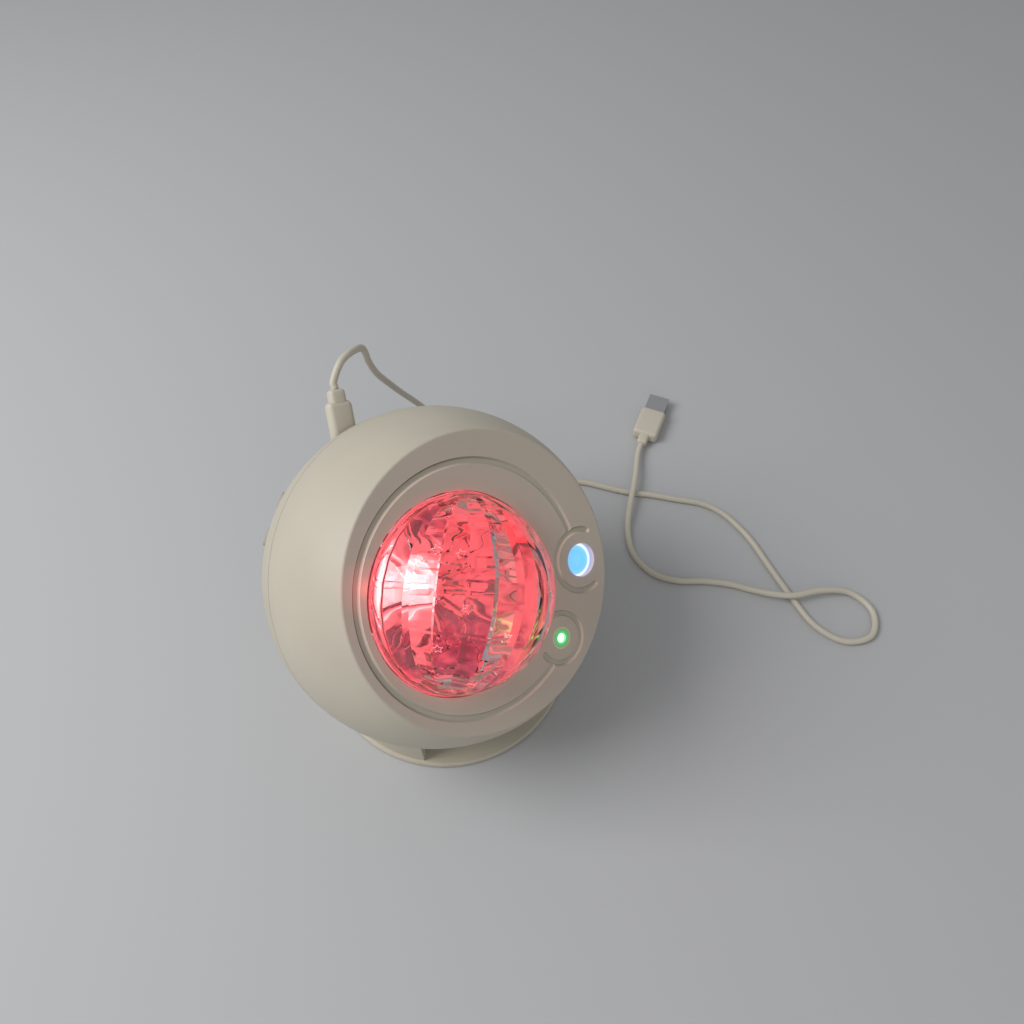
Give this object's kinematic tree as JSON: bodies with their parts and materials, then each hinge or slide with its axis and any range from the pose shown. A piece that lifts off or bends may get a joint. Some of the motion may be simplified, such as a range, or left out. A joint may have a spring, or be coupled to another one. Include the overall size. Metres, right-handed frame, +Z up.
{
  "type": "star projector lamp",
  "caption": "Ball-shaped star projector with a flat face, gored crystal dome, blue lens and laser window, tilting in an open C-shaped cradle, with its USB lead plugged in.",
  "frame": {"origin": "centre of the foot pad on the floor", "axes": "the lamp faces -Y, +Z is up, +X is the tilt axis's direction"},
  "size_m": [0.2831, 0.2643, 0.1491],
  "materials": {
    "ivory": "fine satin",
    "rubber": "matte",
    "steel": "plated",
    "dome": "clear moulded, lit from behind",
    "clear": "clear moulded",
    "white": "matte",
    "black": "matte",
    "led": "lit",
    "brass": "turned",
    "window": "satin",
    "blue": "lit from behind",
    "board": "solder mask",
    "cord": "soft moulded",
    "tie": "matte"
  },
  "bodies": {
    "base": {"base_plate": "ivory", "cradle": "ivory", "seat_strip": "rubber", "foot_pad": "rubber", "base_screw_1": "steel", "base_screw_2": "steel", "base_screw_3": "steel", "cord_arch": "cord", "cord_coil": "cord", "cord_tie": "tie", "cord_run": "cord", "usb_a_plug": "cord", "usb_a_shell": "steel"},
    "head": {"front_shell": "ivory", "rear_cover": "ivory", "shell_screw_1": "steel", "shell_screw_2": "steel", "shell_screw_3": "steel", "dome": "dome", "dome_clamp": "white", "clamp_screw_1": "steel", "clamp_screw_2": "steel", "clamp_screw_3": "steel", "chassis": "black", "led_board": "white", "led_1": "led", "led_2": "led", "led_3": "led", "led_4": "led", "light_tray": "white", "ripple_motor": "steel", "laser_holder": "black", "laser_module": "brass", "laser_window": "window", "star_motor": "steel", "blue_barrel": "black", "blue_lens": "blue", "blue_led": "board", "main_board": "board", "usb_socket": "steel", "switch_board": "board", "switch_1": "black", "switch_2": "black", "usb_c_plug": "cord", "plug_tongue": "steel"},
    "ripple": {"ripple_wheel": "clear", "ripple_shaft": "steel"},
    "star": {"star_disc": "clear", "star_shaft": "steel"},
    "power_key": {"button_power": "rubber"},
    "mode_key": {"button_mode": "rubber"}
  },
  "joints": [
    {"name": "head_tilt", "type": "hinge", "parent": "base", "child": "head", "pos_m": [0, 0, 0.0775], "axis": [1, 0, 0], "range_deg": [-40, 30], "deforming": ["cord_arch"]},
    {"name": "ripple_spin", "type": "hinge", "parent": "head", "child": "ripple", "pos_m": [-0.01068, -0.01216, 0.09382], "axis": [0, -0.7349, 0.6782], "continuous": true},
    {"name": "star_spin", "type": "hinge", "parent": "head", "child": "star", "pos_m": [0.02302, -0.05106, 0.0664], "axis": [0, -0.7349, 0.6782], "continuous": true},
    {"name": "power_press", "type": "slide", "parent": "head", "child": "power_key", "axis": [0.4568, -0.8354, -0.3056], "range_m": [0, 0.0008], "stiffness_N_per_m": 1200, "springref_m": -0.0004},
    {"name": "mode_press", "type": "slide", "parent": "head", "child": "mode_key", "axis": [0.4568, -0.8354, -0.3056], "range_m": [0, 0.0008], "stiffness_N_per_m": 1200, "springref_m": -0.0004}
  ]
}
